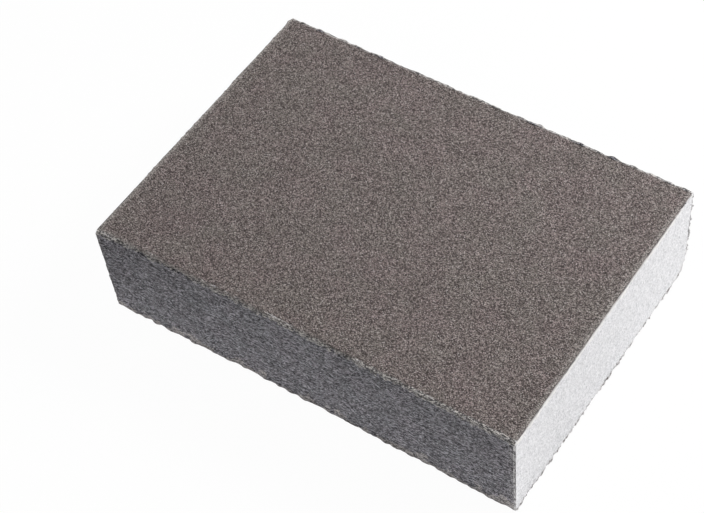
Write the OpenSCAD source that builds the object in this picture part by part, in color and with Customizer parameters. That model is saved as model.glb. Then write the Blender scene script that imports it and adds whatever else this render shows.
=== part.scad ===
// Four-sided sanding sponge.
// A block of fine-celled foam has abrasive grit bonded to both faces and both
// long sides.  The two short ends are bare foam, where a long coated bar was
// sawn to length.
// The length runs along X, the width along Y and the thickness along Z.  The
// origin is at the middle of the lower face, and the front side faces -Y.

/* [Block] */
// Length between the two sawn ends
block_l = 99; // [60:1:200]
// Width over both side coats
block_w = 70; // [40:1:120]
// Thickness over both face coats
block_h = 25; // [16:1:60]

/* [Long edges] */
// Outer radius of the two upper long edges
upper_edge_r = 0.8; // [0.8:0.1:6]
// Outer radius of the front lower long edge
front_lower_edge_r = 0.8; // [0.8:0.1:6]
// Outer radius of the rear lower long edge, the blunt one
rear_lower_edge_r = 5.5; // [0.8:0.1:8]

/* [Coats] */
// Thickness of each layer of grit and resin
coat_t = 0.4; // [0.2:0.05:0.7]

/* [Hidden] */
$fn = 64;

// Colours of the foam, of the grit on the faces and of the grit on the sides
foam_col = [0.90, 0.90, 0.91];
face_grit_col = [0.45, 0.42, 0.41];
side_grit_col = [0.39, 0.385, 0.405];

// The foam is what is left inside the coats, and its rounded edges share
// their centres with the coats around them
foam_w = block_w - 2 * coat_t;
foam_h = block_h - 2 * coat_t;

// The flats end where the rounded edges begin, and the face coats stop there
front_y = -block_w / 2;
rear_y = block_w / 2;
top_front_y = front_y + upper_edge_r;
top_rear_y = rear_y - upper_edge_r;
bottom_front_y = front_y + front_lower_edge_r;
bottom_rear_y = rear_y - rear_lower_edge_r;

// Runs a section drawn in Y and Z along the whole length of the block
module along_length() {
    rotate([90, 0, 90])
        linear_extrude(height = block_l, center = true)
            children();
}

// What a square corner loses when it is rounded: the corner is at the origin
// and the material lies towards +Y and +Z
module corner_waste(r) {
    difference() {
        square(r);
        translate([r, r])
            circle(r);
    }
}

// A rectangle with its lower side on the Y axis and a radius for each corner
module rounded_section(w, h, upper_r, front_r, rear_r) {
    difference() {
        translate([-w / 2, 0])
            square([w, h]);
        translate([-w / 2, h])
            mirror([0, 1])
                corner_waste(upper_r);
        translate([w / 2, h])
            rotate(180)
                corner_waste(upper_r);
        translate([-w / 2, 0])
            corner_waste(front_r);
        translate([w / 2, 0])
            mirror([1, 0])
                corner_waste(rear_r);
    }
}

// A flat coat on one face, from one rounded edge to the other
module face_coat(y_from, y_to, z_low) {
    color(face_grit_col)
        along_length()
            translate([y_from, z_low])
                square([y_to - y_from, coat_t]);
}

// A quarter ring of coat around one long edge, with its centre at the origin
// and its arc towards -Y and -Z
module coat_bend(r) {
    intersection() {
        difference() {
            circle(r);
            circle(r - coat_t);
        }
        translate([-2 * r, -2 * r])
            square(2 * r);
    }
}

// The section of a side coat on the front: a flat strip that bends in over
// the upper and the lower long edge and meets the face coats there
module side_section(lower_r) {
    translate([front_y, lower_r])
        square([coat_t, block_h - upper_edge_r - lower_r]);
    translate([front_y + upper_edge_r, block_h - upper_edge_r])
        mirror([0, 1])
            coat_bend(upper_edge_r);
    translate([front_y + lower_r, lower_r])
        coat_bend(lower_r);
}

module side_coat(lower_r) {
    color(side_grit_col)
        along_length()
            side_section(lower_r);
}

module foam_block() {
    color(foam_col)
        along_length()
            translate([0, coat_t])
                rounded_section(foam_w, foam_h, upper_edge_r - coat_t,
                    front_lower_edge_r - coat_t, rear_lower_edge_r - coat_t);
}

module top_coat() {
    face_coat(top_front_y, top_rear_y, block_h - coat_t);
}

module bottom_coat() {
    face_coat(bottom_front_y, bottom_rear_y, 0);
}

module front_edge_coat() {
    side_coat(front_lower_edge_r);
}

module rear_edge_coat() {
    mirror([0, 1, 0])
        side_coat(rear_lower_edge_r);
}

foam_block();
top_coat();
bottom_coat();
front_edge_coat();
rear_edge_coat();
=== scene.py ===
# Four-sided sanding sponge: a foam block with a coat of grit on both faces and both long sides.
import math

import bmesh
import bpy
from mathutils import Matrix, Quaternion, Vector


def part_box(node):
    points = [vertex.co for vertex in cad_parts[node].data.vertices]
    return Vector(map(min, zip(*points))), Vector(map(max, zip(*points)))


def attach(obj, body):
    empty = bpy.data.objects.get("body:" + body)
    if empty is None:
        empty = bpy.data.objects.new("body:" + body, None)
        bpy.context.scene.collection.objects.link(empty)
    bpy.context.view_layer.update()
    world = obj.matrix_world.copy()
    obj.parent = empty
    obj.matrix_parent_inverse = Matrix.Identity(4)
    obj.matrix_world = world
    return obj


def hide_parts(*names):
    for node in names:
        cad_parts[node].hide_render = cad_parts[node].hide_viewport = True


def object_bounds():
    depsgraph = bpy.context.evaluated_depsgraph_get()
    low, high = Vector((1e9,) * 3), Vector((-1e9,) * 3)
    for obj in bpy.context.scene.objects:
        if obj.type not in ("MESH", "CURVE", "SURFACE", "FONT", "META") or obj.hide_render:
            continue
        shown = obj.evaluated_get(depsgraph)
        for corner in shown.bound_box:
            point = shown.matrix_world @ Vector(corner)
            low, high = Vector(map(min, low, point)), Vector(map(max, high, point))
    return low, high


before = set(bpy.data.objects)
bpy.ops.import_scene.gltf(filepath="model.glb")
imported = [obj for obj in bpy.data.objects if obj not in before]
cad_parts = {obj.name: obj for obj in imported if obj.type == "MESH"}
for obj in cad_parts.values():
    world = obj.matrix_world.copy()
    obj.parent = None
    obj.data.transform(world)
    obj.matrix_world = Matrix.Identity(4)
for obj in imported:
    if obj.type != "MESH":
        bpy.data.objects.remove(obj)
cad_low, cad_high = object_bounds()


# --- Foam block -----------------------------------------------------------------------------------
# The body is a block of pale, fine-celled foam.  It was sawn from a long bar, so its two ends are
# bare and show the cut cells, and its four long edges are rounded under the coats.
upper_edge_r = 0.0008
front_lower_edge_r = 0.0008
rear_lower_edge_r = 0.0055
foam_low, foam_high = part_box("foam_block")
coat_t = foam_low.z - cad_low.z
arc_planes = 9  # planed facets round each long edge of the foam
end_cuts_across = (15, 15)  # 256 rows over the width of an end
end_cuts_up = (15, 5)  # 96 rows over its height
flare_cuts = (0.003, 0.006, 0.009, 0.012, 0.017, 0.022, 0.029, 0.036)
hollow_size = 0.0007  # the sawn ends are pitted by torn cells
hollow_depth = 0.00012
swell_size = 0.003  # and are not quite flat
swell_depth = 0.00015


def block(name, low, high):
    """A box from one corner to the other, as the start of a piece."""
    bpy.ops.object.select_all(action="DESELECT")
    low, high = Vector(low), Vector(high)
    bpy.ops.mesh.primitive_cube_add(size=1, location=(low + high) / 2, scale=high - low)
    piece = bpy.context.object
    piece.name = piece.data.name = name
    bpy.ops.object.transform_apply(location=True, rotation=False, scale=True)
    return piece


def pick(piece):
    """Makes a piece the active object, with nothing else selected."""
    bpy.ops.object.select_all(action="DESELECT")
    piece.select_set(True)
    bpy.context.view_layer.objects.active = piece


def open_mesh(piece):
    """Opens a piece for editing."""
    pick(piece)
    bpy.ops.object.mode_set(mode="EDIT")


def close_mesh():
    """Ends the editing of a piece, with its faces pointing outwards."""
    bpy.ops.mesh.select_all(action="SELECT")
    bpy.ops.mesh.normals_make_consistent(inside=False)
    bpy.ops.object.mode_set(mode="OBJECT")


def select_faces(piece, wanted):
    """Selects the faces of the open mesh whose middle and normal pass a test."""
    bpy.ops.mesh.select_mode(type="FACE")
    bpy.ops.mesh.select_all(action="DESELECT")
    mesh = bmesh.from_edit_mesh(piece.data)
    for face in mesh.faces:
        face.select = wanted(face.calc_center_median(), face.normal)
    bmesh.update_edit_mesh(piece.data, loop_triangles=False, destructive=False)


def select_edges(piece, axis, wanted):
    """Selects the edges of the open mesh that run along an axis and whose middle passes a test."""
    bpy.ops.mesh.select_mode(type="EDGE")
    bpy.ops.mesh.select_all(action="DESELECT")
    mesh = bmesh.from_edit_mesh(piece.data)
    for edge in mesh.edges:
        start, end = (v.co for v in edge.verts)
        along = abs((end - start).normalized()[axis]) > 0.999
        edge.select = along and wanted((start + end) / 2)
    bmesh.update_edit_mesh(piece.data, loop_triangles=False, destructive=False)


def rule(piece, axis, cuts, on_skin):
    """Cuts the skin's edges along an axis into equal lengths, once for each number of cuts."""
    for number in cuts:
        select_edges(piece, axis, on_skin)
        bpy.ops.mesh.subdivide(number_cuts=number)


def plane_off(piece, y, z, r, first_angle):
    """Rounds a long edge of the block with flat cuts around an arc centre, over a quarter turn."""
    step = math.pi / 2 / arc_planes
    for k in range(arc_planes):
        angle = math.radians(first_angle) + (k + 0.5) * step
        out = Vector((0, math.cos(angle), math.sin(angle)))
        bpy.ops.mesh.select_all(action="SELECT")
        bpy.ops.mesh.bisect(
            plane_co=Vector((0, y, z)) + out * r * math.cos(step / 2),
            plane_no=out, clear_outer=True, use_fill=True, threshold=1e-7,
        )


def grow(piece, name, kind, size, height, group, direction="NORMAL", **settings):
    """Raises or sinks part of a piece by a pattern of a given size and height, then applies it."""
    pattern = bpy.data.textures.new(name, kind)
    pattern.noise_scale = size
    for setting, value in settings.items():
        setattr(pattern, setting, value)
    lift = piece.modifiers.new(name, "DISPLACE")
    lift.texture = pattern
    lift.texture_coords = "LOCAL"
    lift.direction = direction
    lift.strength = height
    lift.mid_level = 0.5
    lift.vertex_group = group
    pick(piece)
    bpy.ops.object.modifier_apply(modifier=name)


def group_where(piece, name, weight_at):
    """Gives each vertex its weight in a vertex group, from its place."""
    group = piece.vertex_groups.new(name=name)
    for v in piece.data.vertices:
        weight = weight_at(v.co)
        if weight > 0:
            group.add([v.index], weight, "REPLACE")


def push(piece, name, direction, depth, weight_at):
    """Moves part of a piece by a depth along an axis, by a weight that depends on the place."""
    group_where(piece, name, weight_at)
    lift = piece.modifiers.new(name, "DISPLACE")
    lift.direction = direction
    lift.strength = depth
    lift.mid_level = 0
    lift.vertex_group = name
    pick(piece)
    bpy.ops.object.modifier_apply(modifier=name)


def press_out(piece):
    """Shapes the two ends as they were sawn.

    At the left end the front corner flares forwards and was sawn a little short.  At the right end
    the upper edge leans out.
    """
    def flared(p):
        inward = p.x - cad_low.x
        forward = min(max((-p.y - flare_start) / (cad_high.y - flare_start), 0), 1)
        up = p.z / cad_high.z
        at_top = max(1 - inward / flare_top_reach, 0) ** 2
        at_foot = flare_foot_share * max(1 - (inward / flare_foot_reach) ** 2, 0)
        return forward * (up * at_top + (1 - up) * at_foot)

    def short(p):
        inward = p.x - cad_low.x
        forward = min(max(-p.y / cad_high.y, 0), 1) ** 2
        up = p.z / cad_high.z
        corner = forward * max(1 - inward / short_reach, 0) * (1 - (1 - short_top_share) * up)
        far = min(max((p.y + cad_high.y) / short_far_width, 0), 1)
        return corner + far * up * short_far_share * max(1 - inward / end_reach, 0)

    def proud(p):
        outward = cad_high.x - p.x
        far = min(max((p.y + cad_high.y) / proud_width, 0), 1)
        return far * (p.z / cad_high.z) ** 2 * max(1 - outward / end_reach, 0)

    push(piece, "flare", "Y", -flare_depth, flared)
    push(piece, "short", "X", short_depth, short)
    push(piece, "proud", "X", proud_depth, proud)


flare_depth = 0.0007  # how far the corner stands out
flare_start = 0.010  # how far in front of the middle of the block the flare begins
flare_top_reach = 0.017  # how far along the block it runs at the top
flare_foot_share = 0.8
flare_foot_reach = 0.036  # and at the foot
short_depth = 0.0010  # how much the corner is too short
short_top_share = 0.2  # share of that at the top
short_far_share = 0.24  # share of it along the rest of the upper edge
short_far_width = 0.040
short_reach = 0.012
proud_depth = 0.00018  # how far the other end's upper edge leans out
proud_width = 0.006
end_reach = 0.002


def smooth(piece, degrees):
    """Shades a piece smooth, with a crease where faces meet at more than an angle."""
    pick(piece)
    bpy.ops.object.shade_smooth_by_angle(angle=math.radians(degrees))


def add(tree, kind, inputs=None, **settings):
    """Adds a node to a tree.  Each input is given a value, or another node's output to link to."""
    made = tree.nodes.new(kind)
    for setting, value in settings.items():
        setattr(made, setting, value)
    for name, value in (inputs or {}).items():
        if isinstance(value, bpy.types.NodeSocket):
            tree.links.new(value, made.inputs[name])
        else:
            made.inputs[name].default_value = value
    return made


def math_of(tree, operation, first, second=0.0, clamp=False):
    made = add(tree, "ShaderNodeMath", {0: first, 1: second}, operation=operation, use_clamp=clamp)
    return made.outputs[0]


def blend_of(tree, factor, low, high):
    made = add(tree, "ShaderNodeMix", {0: factor, 6: low, 7: high}, data_type="RGBA")
    return made.outputs[2]


def ramp_of(tree, value, low, high):
    """0 where a value is below low, 1 where it is above high, and a straight ramp between."""
    made = add(tree, "ShaderNodeMapRange", {"Value": value, "From Min": low, "From Max": high})
    return made.outputs[0]


def new_material(name):
    """A material with only its shader and its output, and Object coordinates to build on."""
    material = bpy.data.materials.new(name)
    material.use_nodes = True
    tree = material.node_tree
    tree.nodes.clear()
    shader = add(tree, "ShaderNodeBsdfPrincipled")
    add(tree, "ShaderNodeOutputMaterial", {"Surface": shader.outputs[0]})
    place = add(tree, "ShaderNodeTexCoord").outputs["Object"]
    return material, tree, shader, place


foam_skin = block("foam_block_sawn", foam_low, foam_high)
open_mesh(foam_skin)
at_end = lambda p: abs(p.x) > foam_high.x - 1e-6
rule(foam_skin, 1, end_cuts_across, at_end)
rule(foam_skin, 2, end_cuts_up, at_end)
for y_edge, z_edge, r, first_angle in (
    (foam_high.y, foam_high.z, upper_edge_r - coat_t, 0),
    (foam_low.y, foam_high.z, upper_edge_r - coat_t, 90),
    (foam_low.y, foam_low.z, front_lower_edge_r - coat_t, 180),
    (foam_high.y, foam_low.z, rear_lower_edge_r - coat_t, 270),
):
    centre_y = y_edge - math.copysign(r, y_edge)
    centre_z = z_edge - r if z_edge > coat_t * 2 else z_edge + r
    plane_off(foam_skin, centre_y, centre_z, r, first_angle)
for x in flare_cuts:
    bpy.ops.mesh.select_all(action="SELECT")
    bpy.ops.mesh.bisect(plane_co=Vector((foam_low.x + x, 0, 0)), plane_no=Vector((1, 0, 0)))
close_mesh()
group_where(foam_skin, "right_end", lambda p: float(p.x > foam_high.x - 1e-6))
group_where(foam_skin, "left_end", lambda p: float(p.x < foam_low.x + 1e-6))
for end, sense in (("right_end", 1), ("left_end", -1)):
    grow(foam_skin, end + "_hollows", "VORONOI", hollow_size, hollow_depth * sense, end, "X")
    grow(foam_skin, end + "_swells", "CLOUDS", swell_size, swell_depth * sense, end, "X",
         noise_depth=2)
press_out(foam_skin)
smooth(foam_skin, 60)


def strip_group():
    """An uneven strip beside a border, such as wear or a stain: 1 inside the strip, 0 past it.

    Share says how much of the border has the strip at all: a low one breaks it into dashes.
    """
    tree = bpy.data.node_groups.new("uneven_strip", "ShaderNodeTree")
    face = tree.interface
    face.new_socket("Place", in_out="INPUT", socket_type="NodeSocketVector")
    for name in ("Distance", "Strip", "Share", "Patch size"):
        face.new_socket(name, in_out="INPUT", socket_type="NodeSocketFloat")
    face.new_socket("Mask", in_out="OUTPUT", socket_type="NodeSocketFloat")
    given = add(tree, "NodeGroupInput").outputs
    patches = add(tree, "ShaderNodeTexNoise",
                  {"Vector": given["Place"], "Detail": 2.0,
                   "Scale": math_of(tree, "DIVIDE", 1.0, given["Patch size"])}).outputs["Fac"]
    sway = math_of(tree, "MULTIPLY", math_of(tree, "SUBTRACT", patches, 0.5), strip_sway)
    reach = math_of(tree, "MULTIPLY", given["Strip"], math_of(tree, "ADD", sway, given["Share"]))
    inside = math_of(tree, "SUBTRACT", reach, given["Distance"])
    add(tree, "NodeGroupOutput", {"Mask": ramp_of(tree, inside, 0.0, strip_blur)})
    return tree


strip_sway = 5.0
strip_blur = 0.0002
stain_depth = 0.0015  # how far the saw has dragged grit over the foam
stain_share = -0.2
stain_length = 0.0009
front_stain_depth = 0.0005  # less at the front
front_stain_length = 0.0005
stain_fade = (0.004, 0.006)  # the stains stop where the big rounded edge begins
cream_depth = 0.0009  # the foam is a little yellower under the top coat
cream_length = 0.003
cell_size = 0.00038
cloud_size = 0.0016
mark_size = 0.0004
mark_lay = (1.0, 1.0, 0.45)  # the saw marks run up and down
foam_pale = (0.865, 0.858, 0.872, 1)
foam_dark = (0.42, 0.422, 0.435, 1)
foam_cream = (0.84, 0.825, 0.785, 1)
stain_dark = (0.16, 0.155, 0.155, 1)
uneven_strip = strip_group()


def strip_of(tree, place, distance, strip, share, patch):
    """The mask of an uneven strip of a given width, share and patch size, beside a border."""
    made = add(tree, "ShaderNodeGroup", node_tree=uneven_strip)
    tree.links.new(place, made.inputs["Place"])
    tree.links.new(distance, made.inputs["Distance"])
    made.inputs["Strip"].default_value = strip
    if isinstance(share, bpy.types.NodeSocket):
        tree.links.new(share, made.inputs["Share"])
    else:
        made.inputs["Share"].default_value = share
    made.inputs["Patch size"].default_value = patch
    return made.outputs["Mask"]


def mark_of(tree, shade, worn, share, colour):
    """Mixes a share of a colour into a shade where a mask marks it, as worn, stained, torn,
    yellower or paler.
    """
    return blend_of(tree, math_of(tree, "MULTIPLY", worn, share), shade, colour)


def foam_material():
    """Pale foam with dark cells and fine upright saw marks, stained beside the coats."""
    material, tree, shader, place = new_material("sawn_foam")
    cells = add(tree, "ShaderNodeTexVoronoi", {"Vector": place, "Scale": 1 / cell_size})
    clouds = add(tree, "ShaderNodeTexNoise",
                 {"Vector": place, "Scale": 1 / cloud_size, "Detail": 3.0})
    sawn = add(tree, "ShaderNodeMapping", {"Vector": place, "Scale": mark_lay}).outputs[0]
    marks = add(tree, "ShaderNodeTexNoise",
                {"Vector": sawn, "Scale": 1 / mark_size, "Detail": 1.0})
    tone = math_of(tree, "MULTIPLY", cells.outputs["Distance"], 0.9)
    tone = math_of(tree, "ADD", tone, math_of(tree, "MULTIPLY", clouds.outputs["Fac"], 0.6))
    tone = math_of(tree, "ADD", tone, math_of(tree, "MULTIPLY", marks.outputs["Fac"], 0.5))
    tone = math_of(tree, "SUBTRACT", tone, 0.60, clamp=True)
    shade = blend_of(tree, tone, foam_pale, foam_dark)

    axis = add(tree, "ShaderNodeSeparateXYZ", {0: place}).outputs
    above_foot = math_of(tree, "SUBTRACT", axis["Z"], foam_low.z)
    inside_rear = math_of(tree, "SUBTRACT", foam_high.y, axis["Y"])
    below_top = math_of(tree, "SUBTRACT", foam_high.z, axis["Z"])
    foot_stain = strip_of(tree, place, above_foot, stain_depth, stain_share, stain_length)
    foot_stain = math_of(tree, "MULTIPLY", foot_stain, ramp_of(tree, inside_rear, *stain_fade))
    rear_stain = strip_of(tree, place, inside_rear, stain_depth, stain_share, stain_length)
    rear_stain = math_of(tree, "MULTIPLY", rear_stain, ramp_of(tree, above_foot, *stain_fade))
    inside_front = math_of(tree, "SUBTRACT", axis["Y"], foam_low.y)
    front_stain = strip_of(tree, place, inside_front, front_stain_depth, stain_share,
                           front_stain_length)
    stain = math_of(tree, "MAXIMUM", math_of(tree, "MAXIMUM", foot_stain, rear_stain), front_stain)
    cream = strip_of(tree, place, below_top, cream_depth, 1.0, cream_length)
    shade = mark_of(tree, shade, cream, 0.5, foam_cream)
    shade = mark_of(tree, shade, stain, 0.8, stain_dark)
    tree.links.new(shade, shader.inputs["Base Color"])
    shader.inputs["Roughness"].default_value = 0.9
    shader.inputs["Specular IOR Level"].default_value = 0.3
    bump = add(tree, "ShaderNodeBump", {"Height": cells.outputs["Distance"], "Strength": 0.5,
                                        "Distance": 0.0001})
    tree.links.new(bump.outputs[0], shader.inputs["Normal"])
    return material


foam_skin.data.materials.append(foam_material())
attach(foam_skin, "root")
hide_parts("foam_block")


# --- Face coats -----------------------------------------------------------------------------------
# Each face carries a layer of brown fused grit held in resin, laid on the foam slab before it was
# cut into bars.  It ends where the long edges begin to round.
face_cuts_along = (31, 11)  # 384 rows of grit along the block
face_cuts_across = (31, 7)  # 256 across it
face_clump_height = 0.00003
grain = 0.00016  # one grain of grit
clump = 0.00028  # grains that stand up together
wave_length = 0.006
wave_height = 0.00015
tear_length = 0.0008  # the sawn edges of the top and front coats are torn along the block
tear_height = 0.0007
burr_length = 0.0010  # those of the bottom and rear coats have burrs that stand out
burr_height = 0.0011


def coat_relief(piece, clump_height):
    """Raises the grit of a coat, tears its sawn ends a little and presses it out with the foam."""
    grow(piece, "clumps", "VORONOI", clump, clump_height, "grit")
    grow(piece, "waves", "CLOUDS", wave_length, wave_height, "grit", noise_depth=1)
    grow(piece, "tears", "CLOUDS", tear_length, tear_height, "tears", "X", noise_depth=1)
    grow(piece, "burrs", "CLOUDS", burr_length, burr_height, "burrs", noise_depth=1)
    press_out(piece)


def grit_group():
    """Grains in resin: how much grain shows, darkened by painted shade at grain rims and in
    furrows, the painted highlight of glinting grains, roughness and height at each place.
    """
    tree = bpy.data.node_groups.new("grit_in_resin", "ShaderNodeTree")
    face = tree.interface
    face.new_socket("Place", in_out="INPUT", socket_type="NodeSocketVector")
    face.new_socket("Lay", in_out="INPUT", socket_type="NodeSocketVector")
    face.new_socket("Grain size", in_out="INPUT", socket_type="NodeSocketFloat")
    face.new_socket("Furrows", in_out="INPUT", socket_type="NodeSocketFloat")
    for name in ("Grain", "Painted glint", "Roughness", "Height"):
        face.new_socket(name, in_out="OUTPUT", socket_type="NodeSocketFloat")
    given = add(tree, "NodeGroupInput").outputs
    per_metre = math_of(tree, "DIVIDE", 1.0, given["Grain size"])
    laid = add(tree, "ShaderNodeMapping",
               {"Vector": given["Place"], "Scale": given["Lay"]}).outputs[0]
    grains = add(tree, "ShaderNodeTexVoronoi", {"Vector": laid, "Scale": per_metre})
    luck = add(tree, "ShaderNodeSeparateColor", {0: grains.outputs["Color"]}).outputs
    peak = add(tree, "ShaderNodeMapRange",
               {"Value": grains.outputs["Distance"], "From Max": 0.75,
                "To Min": 1.0, "To Max": 0.0}).outputs[0]
    furrows = add(tree, "ShaderNodeTexNoise",
                  {"Vector": laid, "Detail": 0.0,
                   "Scale": math_of(tree, "DIVIDE", per_metre, furrow_grains)}).outputs["Fac"]
    furrows = math_of(tree, "MULTIPLY", math_of(tree, "SUBTRACT", furrows, 0.5), given["Furrows"])
    shown = math_of(tree, "MULTIPLY", luck[0], shown_luck)
    # painted shade: a grain's rim is painted darker than its middle, for the shade in the crevices
    # between grains
    shown = math_of(tree, "ADD", shown, math_of(tree, "MULTIPLY", peak, painted_rim_shade))
    # painted shade: the furrows are painted darker in the colour, besides the bump that they give
    shown = math_of(tree, "ADD", shown, furrows)
    shown = math_of(tree, "SUBTRACT", shown, resin_level, clamp=True)
    # painted highlight: about one grain in thirty is marked to be painted brighter as a glinting
    # grain
    painted_glint = ramp_of(tree, luck[1], *painted_glint_luck)
    rough = add(tree, "ShaderNodeMapRange", {"Value": luck[0], "To Min": 0.9, "To Max": 0.55})
    height = math_of(tree, "MULTIPLY", peak, math_of(tree, "ADD", luck[2], 0.4))
    height = math_of(tree, "ADD", height, math_of(tree, "MULTIPLY", furrows, 2.0))
    add(tree, "NodeGroupOutput",
        {"Grain": shown, "Painted glint": painted_glint, "Roughness": rough.outputs[0], "Height": height})
    return tree


furrow_grains = 3.2  # a furrow between grains is this many grains wide
shown_luck = 1.35  # how much the grains differ from each other
painted_rim_shade = 0.9  # painted rim shade: how much lighter a grain's middle is painted than its rim, for the shade in the crevices
resin_level = 0.86  # the higher, the more resin shows between the grains
painted_glint_luck = (0.965, 0.97)  # about one grain in thirty is painted brighter as a glinting grain: a painted highlight
grit_in_resin = grit_group()


def grit_material(name, lay, furrows, relief, grains, resin, painted_glint):
    """A coat of grit: two grain colours in slow patches, the resin between them with painted shade
    in the crevices, and painted highlights on rare glinting grains.

    Lay stretches or packs the grains along each axis.
    """
    material, tree, shader, place = new_material(name)
    grit = add(tree, "ShaderNodeGroup", node_tree=grit_in_resin)
    tree.links.new(place, grit.inputs["Place"])
    grit.inputs["Lay"].default_value = lay
    grit.inputs["Grain size"].default_value = grain
    grit.inputs["Furrows"].default_value = furrows
    patches = add(tree, "ShaderNodeTexNoise",
                  {"Vector": place, "Scale": 1 / patch_size, "Detail": 2.0}).outputs["Fac"]
    shade = blend_of(tree, ramp_of(tree, patches, *patch_edge), grains[0], grains[1])
    shade = blend_of(tree, grit.outputs["Grain"], resin, shade)
    # painted highlight: the marked grains are painted in the bright glinting colour
    shade = blend_of(tree, grit.outputs["Painted glint"], shade, painted_glint)
    tree.links.new(grit.outputs["Roughness"], shader.inputs["Roughness"])
    shader.inputs["Specular IOR Level"].default_value = 0.2
    bump = add(tree, "ShaderNodeBump",
               {"Height": grit.outputs["Height"], "Strength": 0.9, "Distance": relief})
    tree.links.new(bump.outputs[0], shader.inputs["Normal"])
    return material, tree, shader, place, grit, shade


patch_size = 0.007
patch_edge = (0.35, 0.65)
pale_grit = (0.66, 0.61, 0.59, 1)  # resin worn pale at a border; the strip along a side's foot is also made paler with it
border_pale = (0.62, 0.585, 0.55, 1)  # thinner resin along a border of a face
bare = (0.79, 0.775, 0.775, 1)  # foam that shows where the saw has torn the coat off
sawn_skin = (0.00030, 0.00025)  # what lies nearer to an end than this is its sawn wall
chip_share = 0.1
chip_length = 0.0012
border_width = 0.0011
border_stop = (0.00012, 0.00008)  # the border is worn up to the sawn corner, and not past it
left_border = (-0.0478, -0.0490)  # the left end is worn most
top_held_share = 1.5  # how much of a sawn wall the saw has left on the top coat
bottom_loss = 1.6  # how much less it has left on the bottom coat
face_chips = 0.00004
face_fringe_width = 0.00045
fringe_length = 0.0012


def torn_of(tree, place, from_end, held_share, chips):
    """Where a coat's sawn end shows foam: all of it but the held share, and chips at the corner."""
    sawn = ramp_of(tree, from_end, *sawn_skin)
    held = strip_of(tree, place, from_end, stain_depth, held_share, stain_length)
    torn = math_of(tree, "MULTIPLY", sawn, math_of(tree, "SUBTRACT", 1.0, held))
    chipped = strip_of(tree, place, from_end, chips, chip_share, chip_length)
    return math_of(tree, "MAXIMUM", torn, chipped)


def grainy_of(tree, grit, gain, least):
    """How much of a worn or paler mark each place takes: most on the grains, and least on the resin
    between them.
    """
    return math_of(tree, "ADD", math_of(tree, "MULTIPLY", grit.outputs["Grain"], gain), least)


def face_grit_material():
    """Brown grit, with pale worn borders and sawn ends that are torn in places."""
    material, tree, shader, place, grit, shade = grit_material(
        # the furrows and grain rims carry painted shade in the colour as well as bump
        "face_grit", lay=(0.95, 1.45, 1.0), furrows=0.2, relief=0.00016,
        grains=((0.600, 0.493, 0.479, 1), (0.565, 0.500, 0.465, 1)),
        # the last colour is a painted highlight for glinting grains
        resin=(0.050, 0.040, 0.038, 1), painted_glint=(0.66, 0.61, 0.59, 1))
    axis = add(tree, "ShaderNodeSeparateXYZ", {0: place}).outputs
    from_side = math_of(tree, "SUBTRACT", cad_high.y, math_of(tree, "ABSOLUTE", axis["Y"]))
    from_end = math_of(tree, "SUBTRACT", cad_high.x, math_of(tree, "ABSOLUTE", axis["X"]))
    border = ramp_of(tree, math_of(tree, "MINIMUM", from_side, from_end), border_width, 0.0)
    past = ramp_of(tree, from_end, *border_stop)
    border = math_of(tree, "SUBTRACT", border, past, clamp=True)
    left = math_of(tree, "MULTIPLY", ramp_of(tree, axis["X"], *left_border), 0.5)
    border = math_of(tree, "ADD", border, left)
    fringe = strip_of(tree, place, from_side, face_fringe_width, 1.2, fringe_length)
    loss = math_of(tree, "MULTIPLY", ramp_of(tree, axis["Z"], 0.001, 0.0), bottom_loss)
    held_share = math_of(tree, "SUBTRACT", top_held_share, loss)
    torn = torn_of(tree, place, from_end, held_share, face_chips)
    grainy = grainy_of(tree, grit, 1.4, 0.15)
    shade = mark_of(tree, shade, math_of(tree, "MULTIPLY", border, grainy), 0.85, border_pale)
    shade = mark_of(tree, shade, math_of(tree, "MULTIPLY", fringe, grainy), 0.35, pale_grit)
    shade = mark_of(tree, shade, torn, 0.9, bare)
    tree.links.new(shade, shader.inputs["Base Color"])
    return material


face_grit = face_grit_material()
for node, up in (("top_coat", 1), ("bottom_coat", -1)):
    low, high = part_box(node)
    skin_z = high.z if up > 0 else low.z
    coat = block(node + "_grit", low, high)
    open_mesh(coat)
    on_face = lambda p: abs(p.z - skin_z) < 1e-6
    sawn_edge = lambda p: on_face(p) and abs(p.x) > high.x - 1e-6
    rule(coat, 0, face_cuts_along, on_face)
    rule(coat, 1, face_cuts_across, on_face)
    close_mesh()
    group_where(coat, "grit", lambda p: float(on_face(p)))
    group_where(coat, "tears", lambda p: float(up > 0 and sawn_edge(p)))
    group_where(coat, "burrs", lambda p: float(up < 0 and sawn_edge(p)))
    coat_relief(coat, face_clump_height)
    smooth(coat, 60)
    coat.data.materials.append(face_grit)
    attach(coat, "root")
    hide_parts(node)


# --- Side coats -----------------------------------------------------------------------------------
# Each long side carries a layer of the same grit, laid on after the bars were cut.  Its cool
# slate-grey colour is painted light: the grit's colour tinted for the bluish light on the sides.
# It bends in over the two long edges beside it and meets the face coats there.
side_cuts_along = (31, 15)  # 512 rows of grit along the block
side_cuts_up = (15, 7)  # 128 over the flat of a side
bend_step = 0.0002  # one facet round a bend
bend_relief = 0.35  # share of the relief that a bend has
side_clump_height = 0.00001
rim = 0.0016  # the uneven strip along each long border of a side coat
rim_fade = 0.003  # it fades this far from a sawn end
rim_length = 0.0020
rim_height = 0.0007
front_top_rim = 0.3  # share of it at the front upper edge
side_fringe_width = 0.00055
fringe_top = -0.00012  # no fringe on the lip that stands above the face
fringe_pale = (0.88, 0.835, 0.79, 1)
foot_width = 0.0020
foot_length = 0.003
side_border_width = 0.0016
side_held_share = 0.0
rear_loss = 0.1  # how much less the saw has left of the rear coat's sawn walls
bend_loss = 0.5  # and how much less again on its big bend
bend_top = (0.005, 0.004)
side_chips = 0.00028


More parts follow.
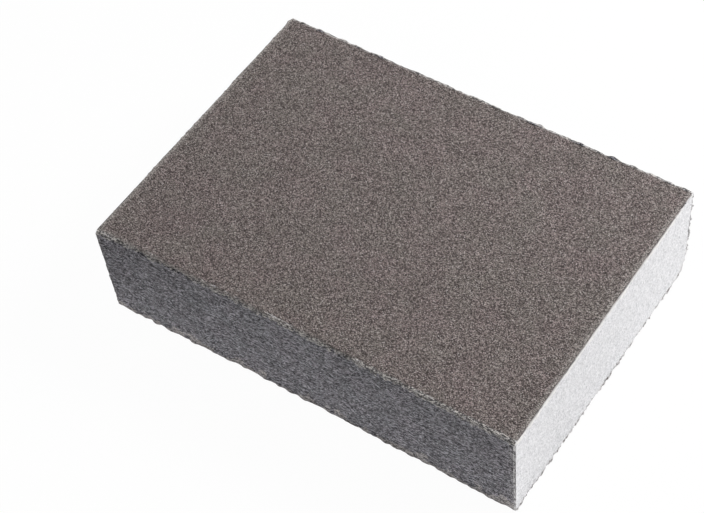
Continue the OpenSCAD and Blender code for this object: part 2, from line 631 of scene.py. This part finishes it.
def side_grit_material():
    """Grit in short streaks, its cool slate colour painted light for the bluish fill on the sides,
    with a pale fringe, a paler foot and torn sawn ends.
    """
    material, tree, shader, place, grit, shade = grit_material(
        # the furrows and grain rims carry painted shade in the colour as well as bump
        "side_grit", lay=(0.46, 1.0, 1.70), furrows=1.05, relief=0.00026,
        # painted light: these cool colours are the grit's own, tinted for the bluish light on the
        # sides
        grains=((0.622, 0.584, 0.642, 1), (0.591, 0.587, 0.635, 1)),
        # the last colour is a painted highlight for glinting grains
        resin=(0.016, 0.015, 0.018, 1), painted_glint=(0.60, 0.59, 0.63, 1))
    axis = add(tree, "ShaderNodeSeparateXYZ", {0: place}).outputs
    below_top = math_of(tree, "SUBTRACT", cad_high.z, axis["Z"])
    from_end = math_of(tree, "SUBTRACT", cad_high.x, math_of(tree, "ABSOLUTE", axis["X"]))
    fringe = strip_of(tree, place, below_top, side_fringe_width, 1.5, fringe_length)
    fringe = math_of(tree, "MULTIPLY", fringe, ramp_of(tree, below_top, fringe_top, 0.0))
    foot = strip_of(tree, place, axis["Z"], foot_width, 1.0, foot_length)
    border = ramp_of(tree, from_end, side_border_width, 0.0)
    behind = ramp_of(tree, axis["Y"], 0.0, 0.001)
    bend = math_of(tree, "MULTIPLY", ramp_of(tree, axis["Z"], *bend_top), bend_loss)
    loss = math_of(tree, "MULTIPLY", behind, math_of(tree, "ADD", bend, rear_loss))
    held_share = math_of(tree, "SUBTRACT", side_held_share, loss)
    torn = torn_of(tree, place, from_end, held_share, side_chips)
    grainy = grainy_of(tree, grit, 1.5, 0.12)
    shade = mark_of(tree, shade, math_of(tree, "MULTIPLY", border, grainy), 0.28, pale_grit)
    # paler along the foot: this strip of the side is mixed toward the pale colour
    shade = mark_of(tree, shade, math_of(tree, "MULTIPLY", foot, grainy), 0.8, pale_grit)
    shade = mark_of(tree, shade, math_of(tree, "MULTIPLY", fringe, grainy), 0.85, fringe_pale)
    shade = mark_of(tree, shade, torn, 0.9, bare)
    tree.links.new(shade, shader.inputs["Base Color"])
    return material


side_grit = side_grit_material()
for node, side, lower_r in (
    ("front_edge_coat", -1, front_lower_edge_r),
    ("rear_edge_coat", 1, rear_lower_edge_r),
):
    upper_z = cad_high.z - upper_edge_r
    coat = block(node + "_grit", cad_low, cad_high)
    open_mesh(coat)
    for r, wanted in (
        (upper_edge_r, lambda p: p.y * side > 0 and p.z > upper_z),
        (lower_r, lambda p: p.y * side > 0 and p.z < lower_r / 2),
    ):
        select_edges(coat, 0, wanted)
        bpy.ops.mesh.bevel(offset=r, offset_type="OFFSET", profile=0.5, affect="EDGES",
                           segments=round(r * math.pi / 2 / bend_step))
    select_faces(coat, lambda p, normal: normal.y * side < 0.01)
    bpy.ops.mesh.delete(type="FACE")
    close_mesh()
    wall = coat.modifiers.new("wall", "SOLIDIFY")
    wall.thickness = coat_t
    wall.offset = -1
    wall.use_even_offset = True
    bpy.ops.object.modifier_apply(modifier="wall")

    def on_side(p, side=side, lower_r=lower_r):
        """Whether a place is on the outer skin of this coat."""
        if p.z > upper_z:
            reach = math.hypot(abs(p.y) - (cad_high.y - upper_edge_r), p.z - upper_z)
            return reach > upper_edge_r - coat_t / 2
        if p.z < lower_r:
            reach = math.hypot(abs(p.y) - (cad_high.y - lower_r), p.z - lower_r)
            return reach > lower_r - coat_t / 2
        return abs(p.y) > cad_high.y - coat_t / 2

    open_mesh(coat)
    rule(coat, 0, side_cuts_along, on_side)
    rule(coat, 2, side_cuts_up, lambda p: abs(p.y) > cad_high.y - 1e-6)
    close_mesh()

    def grit_weight(p, on_side=on_side, lower_r=lower_r):
        """Full relief on the flat of the side, and less on the bends."""
        if not on_side(p):
            return 0.0
        return 1.0 if lower_r <= p.z <= upper_z else bend_relief

    def rim_weight(p, on_side=on_side):
        """The foot is the most uneven, the upper edge less, and neither near a sawn end."""
        if not on_side(p) or min(p.z, cad_high.z - p.z) > rim:
            return 0.0
        fade = min((cad_high.x - abs(p.x)) / rim_fade, 1)
        return fade * (1.0 if p.z < rim or p.y > 0 else front_top_rim)

    sawn_edge = lambda p: on_side(p) and abs(p.x) > cad_high.x - 1e-6
    group_where(coat, "grit", grit_weight)
    group_where(coat, "tears", lambda p: float(p.y < 0 and sawn_edge(p)))
    group_where(coat, "rims", rim_weight)
    grow(coat, "rims", "CLOUDS", rim_length, rim_height, "rims", noise_depth=1)
    group_where(coat, "burrs", lambda p: float(p.y > 0 and sawn_edge(p)))
    coat_relief(coat, side_clump_height)
    smooth(coat, 60)
    coat.data.materials.append(side_grit)
    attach(coat, "root")
    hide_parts(node)


# --- Bench top, light and camera ------------------------------------------------------------------
# The sponge lies on a plain white top under soft studio light, from a lamp at the right and from
# all round.  A card that lies in front of it throws light back on its front side.
bench_reach = 3.0
bench_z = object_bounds()[0].z  # the sponge lies on its lowest grit
bench_white = 0.90
bench_glow = 0.97  # share of the top that shows as plain white, past its shade
room_light = 0.45
lamp_power = 1.56
lamp_size = 0.15
lamp_at = Vector((0.20, 0.24, 0.30))
card_power = 0.0125
card_width = 0.025
card_length = 0.13
card_gap = 0.001
card_shift = 0.014


def seen_of(tree):
    """1 for what the camera sees straight, in a mirror or through glass, and 0 for other light."""
    path = add(tree, "ShaderNodeLightPath").outputs
    other = math_of(tree, "MAXIMUM", path["Is Glossy Ray"], path["Is Transmission Ray"])
    return math_of(tree, "MAXIMUM", path["Is Camera Ray"], other)


bpy.ops.object.select_all(action="DESELECT")
bpy.ops.mesh.primitive_plane_add(size=bench_reach, location=(0, 0, bench_z))
bench = bpy.context.object
bench.name = "bench_top"
bench_paint = bpy.data.materials.new("bench_white")
bench_paint.use_nodes = True
tree = bench_paint.node_tree
tree.nodes.clear()
paint = add(tree, "ShaderNodeBsdfDiffuse", {"Color": (bench_white, bench_white, bench_white, 1)})
glow = add(tree, "ShaderNodeEmission", {"Color": (1, 1, 1, 1), "Strength": 1.0})
share = math_of(tree, "MULTIPLY", seen_of(tree), bench_glow)
mixed = add(tree, "ShaderNodeMixShader", {0: share, 1: paint.outputs[0], 2: glow.outputs[0]})
add(tree, "ShaderNodeOutputMaterial", {"Surface": mixed.outputs[0]})
bench.data.materials.append(bench_paint)

room = bpy.data.worlds.new("room")
bpy.context.scene.world = room
room.use_nodes = True
tree = room.node_tree
tree.nodes.clear()
strength = add(tree, "ShaderNodeMapRange",
               {"Value": seen_of(tree), "To Min": room_light, "To Max": 1.0})
sky = add(tree, "ShaderNodeBackground", {"Color": (1, 1, 1, 1), "Strength": strength.outputs[0]})
add(tree, "ShaderNodeOutputWorld", {"Surface": sky.outputs[0]})

bpy.ops.object.light_add(type="AREA", location=lamp_at)
lamp = bpy.context.object
lamp.name = "soft_lamp"
lamp.data.energy = lamp_power
lamp.data.size = lamp_size
lamp.rotation_euler = (-lamp_at).to_track_quat("-Z", "Y").to_euler()
lamp.visible_camera = False

card_at = Vector((card_shift, cad_low.y - card_gap - card_width / 2, card_gap / 2))
bpy.ops.object.light_add(type="AREA", location=card_at, rotation=(math.pi, 0, 0))
card = bpy.context.object
card.name = "reflector_card"
card.data.energy = card_power
card.data.shape = "RECTANGLE"
card.data.size = card_length
card.data.size_y = card_width
card.visible_camera = False

camera_at = Vector((0.1457, -0.1937, 0.3224))
camera_aim = Vector((-0.0067, -0.0066, 0.0125))
camera_roll = math.radians(-6.71)
camera_lens = 96.7
bpy.ops.object.camera_add(location=camera_at)
camera = bpy.context.object
camera.name = "camera"
camera.rotation_mode = "QUATERNION"
camera.rotation_quaternion = ((camera_aim - camera_at).to_track_quat("-Z", "Y")
                              @ Quaternion((0, 0, 1), camera_roll))
camera.data.sensor_width = 36
camera.data.lens = camera_lens
camera.data.clip_start = 0.01
bpy.context.scene.camera = camera
bpy.context.scene.view_settings.view_transform = "Standard"
